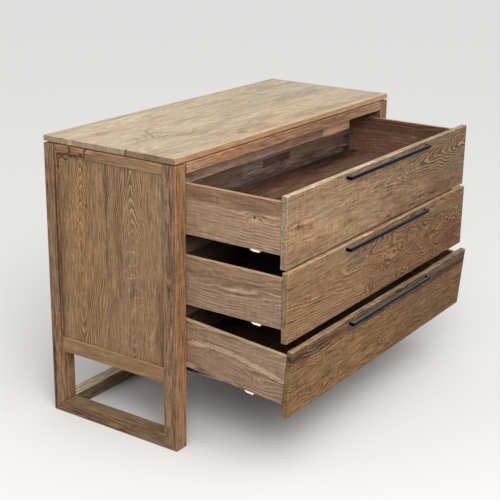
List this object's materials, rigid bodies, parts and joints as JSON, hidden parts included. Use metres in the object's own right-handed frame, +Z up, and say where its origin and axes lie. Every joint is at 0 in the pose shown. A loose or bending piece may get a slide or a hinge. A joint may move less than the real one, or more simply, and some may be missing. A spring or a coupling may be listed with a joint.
{
  "type": "chest of drawers",
  "caption": "Low, wide solid wood chest on an open foot frame, with inset drawers that pull out on hidden runners and slim black bar handles.",
  "frame": {"origin": "middle of the rear foot rail's underside, on the floor", "axes": "+X along the chest towards its right end as seen from the front, +Y from its front to its back, +Z up"},
  "size_m": [1.2, 0.852, 0.87],
  "materials": {
    "top_wood": "waxed, pale tan",
    "frame_wood": "waxed, mid brown",
    "foot_wood": "waxed, darker brown",
    "panel_wood": "waxed, upright grain",
    "back_wood": "unfinished",
    "bearer_wood": "unfinished",
    "front_wood": "waxed, figured and a little worn",
    "box_side_wood": "sanded",
    "box_inside_wood": "stained dark, finger-jointed strips",
    "handle_steel": "satin black",
    "runner_steel": "zinc plated",
    "catch_plastic": "moulded, off-white"
  },
  "bodies": {
    "case": {"top_panel": "top_wood", "post_front_left": "frame_wood", "post_front_right": "frame_wood", "post_rear_left": "frame_wood", "post_rear_right": "frame_wood", "side_top_rail_left": "frame_wood", "side_top_rail_right": "frame_wood", "side_mid_rail_left": "frame_wood", "side_mid_rail_right": "frame_wood", "front_top_rail": "frame_wood", "rear_top_rail": "frame_wood", "rear_bottom_rail": "frame_wood", "foot_rail_left": "foot_wood", "foot_rail_right": "foot_wood", "rear_foot_rail": "foot_wood", "side_panel_left": "panel_wood", "side_panel_right": "panel_wood", "back_panel": "back_wood", "runner_bearer_1_left": "bearer_wood", "runner_bearer_1_right": "bearer_wood", "runner_bearer_2_left": "bearer_wood", "runner_bearer_2_right": "bearer_wood", "runner_bearer_3_left": "bearer_wood", "runner_bearer_3_right": "bearer_wood", "cabinet_rail_1_left": "runner_steel", "cabinet_rail_1_right": "runner_steel", "cabinet_rail_2_left": "runner_steel", "cabinet_rail_2_right": "runner_steel", "cabinet_rail_3_left": "runner_steel", "cabinet_rail_3_right": "runner_steel"},
    "drawer_1": {"drawer_1_front": "front_wood", "drawer_1_side_left": "box_side_wood", "drawer_1_side_right": "box_side_wood", "drawer_1_back": "box_inside_wood", "drawer_1_bottom": "box_inside_wood", "drawer_1_handle": "handle_steel", "drawer_1_catch_left": "catch_plastic", "drawer_1_catch_right": "catch_plastic", "drawer_1_rail_left": "runner_steel", "drawer_1_rail_right": "runner_steel"},
    "drawer_2": {"drawer_2_front": "front_wood", "drawer_2_side_left": "box_side_wood", "drawer_2_side_right": "box_side_wood", "drawer_2_back": "box_inside_wood", "drawer_2_bottom": "box_inside_wood", "drawer_2_handle": "handle_steel", "drawer_2_catch_left": "catch_plastic", "drawer_2_catch_right": "catch_plastic", "drawer_2_rail_left": "runner_steel", "drawer_2_rail_right": "runner_steel"},
    "drawer_3_rails": {"drawer_3_rail_left": "runner_steel", "drawer_3_rail_right": "runner_steel"},
    "drawer_3": {"drawer_3_front": "front_wood", "drawer_3_side_left": "box_side_wood", "drawer_3_side_right": "box_side_wood", "drawer_3_back": "box_inside_wood", "drawer_3_bottom": "box_inside_wood", "drawer_3_handle": "handle_steel", "drawer_3_catch_left": "catch_plastic", "drawer_3_catch_right": "catch_plastic"}
  },
  "joints": [
    {"name": "drawer_1_slide", "type": "slide", "parent": "case", "child": "drawer_1", "axis": [0, -1, 0], "range_m": [-0.325, 0.0249]},
    {"name": "drawer_2_slide", "type": "slide", "parent": "case", "child": "drawer_2", "axis": [0, -1, 0], "range_m": [-0.3328, 0.0171]},
    {"name": "drawer_3_slide", "type": "slide", "parent": "case", "child": "drawer_3_rails", "axis": [0, -1, 0], "range_m": [-0.3431, 0.0068]},
    {"name": "drawer_3_lean", "type": "hinge", "parent": "drawer_3_rails", "child": "drawer_3", "pos_m": [0, -0.65533, 0.247], "axis": [1, 0, 0], "range_deg": [-4.6, 0.1]}
  ],
  "couplings": [
    {"joint": "drawer_3_lean", "follows": "drawer_3_slide", "rad_per_m": 0.23397}
  ]
}
